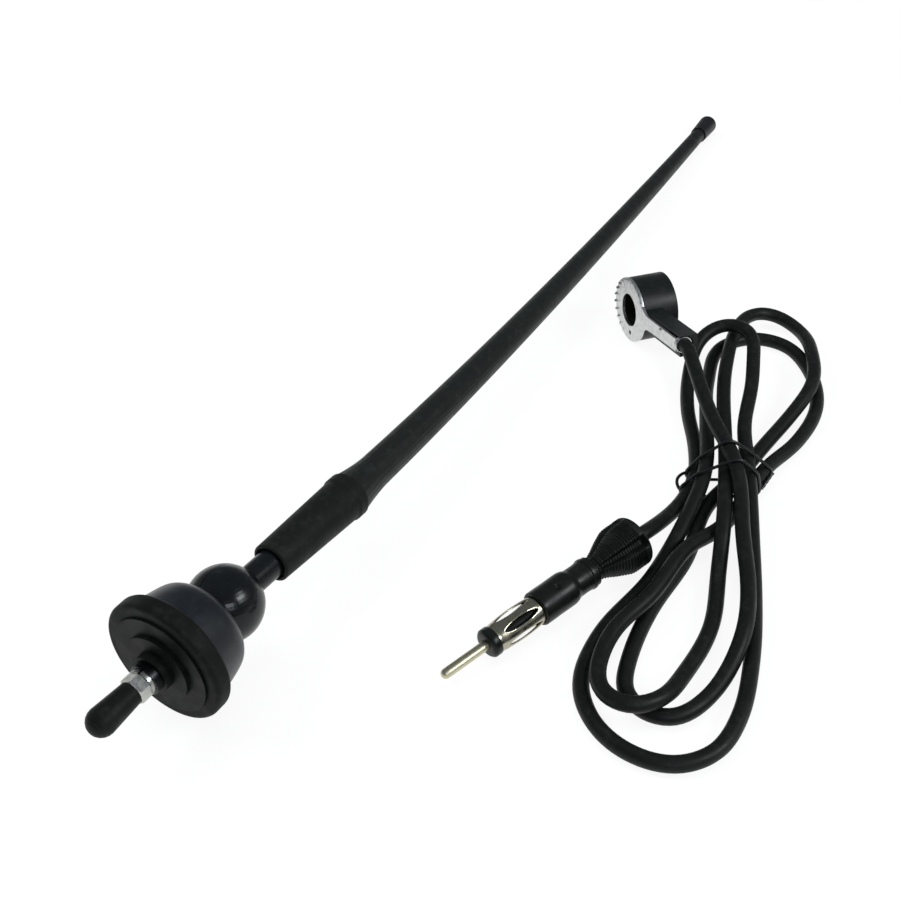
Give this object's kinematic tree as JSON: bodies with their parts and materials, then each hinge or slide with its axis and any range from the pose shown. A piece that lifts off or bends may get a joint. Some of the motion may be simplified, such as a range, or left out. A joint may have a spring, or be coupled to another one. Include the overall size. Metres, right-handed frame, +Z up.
{
  "type": "car antenna",
  "caption": "Rubber whip car antenna on a tilting ball joint with a round panel mount, shown with its tied aerial lead, clamp connector and plug.",
  "frame": {"origin": "on the floor under the middle of the lying antenna, its lead left out", "axes": "+X along the antenna towards the mast's tip, +Z up from the floor it lies on, the lead on the -Y side"},
  "size_m": [0.4799, 0.176, 0.043],
  "materials": {
    "gloss_black": "glossy black moulded plastic",
    "black_rubber": "matte black rubber",
    "mast_rubber": "smooth matte black rubber over a spring core",
    "black_moulding": "satin black moulded plastic",
    "plug_moulding": "satin black moulded plastic",
    "dark_metal": "dark plated steel",
    "zinc_plate": "zinc plated steel with a faint yellow tint",
    "bright_casting": "bright rough die casting",
    "brass": "bare brass",
    "nickel": "satin nickel plate",
    "cable_jacket": "satin black soft vinyl",
    "tie_plastic": "black plastic coated wire"
  },
  "bodies": {
    "base_and_lead": {"bell_housing": "gloss_black", "base_gasket": "black_rubber", "base_plate": "black_moulding", "insulator_hub": "black_moulding", "hub_collar": "dark_metal", "lock_washer": "zinc_plate", "mounting_nut": "zinc_plate", "mounting_stud": "zinc_plate", "stud_cap": "black_rubber", "base_ball_half": "gloss_black", "pivot_screw": "dark_metal", "pivot_spring_washer": "dark_metal", "clamp_housing": "black_moulding", "ground_plate": "bright_casting", "contact_bush": "black_moulding", "centre_contact": "brass", "cable": "cable_jacket", "cable_tie": "tie_plastic", "cable_grommet": "black_rubber", "plug_sleeve": "plug_moulding", "plug_rear_ring": "plug_moulding", "plug_shell": "nickel", "plug_collar": "plug_moulding", "plug_insulator": "black_moulding", "plug_pin": "nickel"},
    "mast_arm": {"mast_ball_half": "gloss_black", "grip_sleeve": "mast_rubber", "mast_ferrule": "brass", "mast": "mast_rubber", "tip_cap": "black_rubber"}
  },
  "joints": [
    {"name": "mast_tilt", "type": "hinge", "parent": "base_and_lead", "child": "mast_arm", "pos_m": [-0.18096, -0.00206, 0.0215], "axis": [0, -0.9511, 0.309], "range_deg": [-87.56, 92.44]}
  ]
}
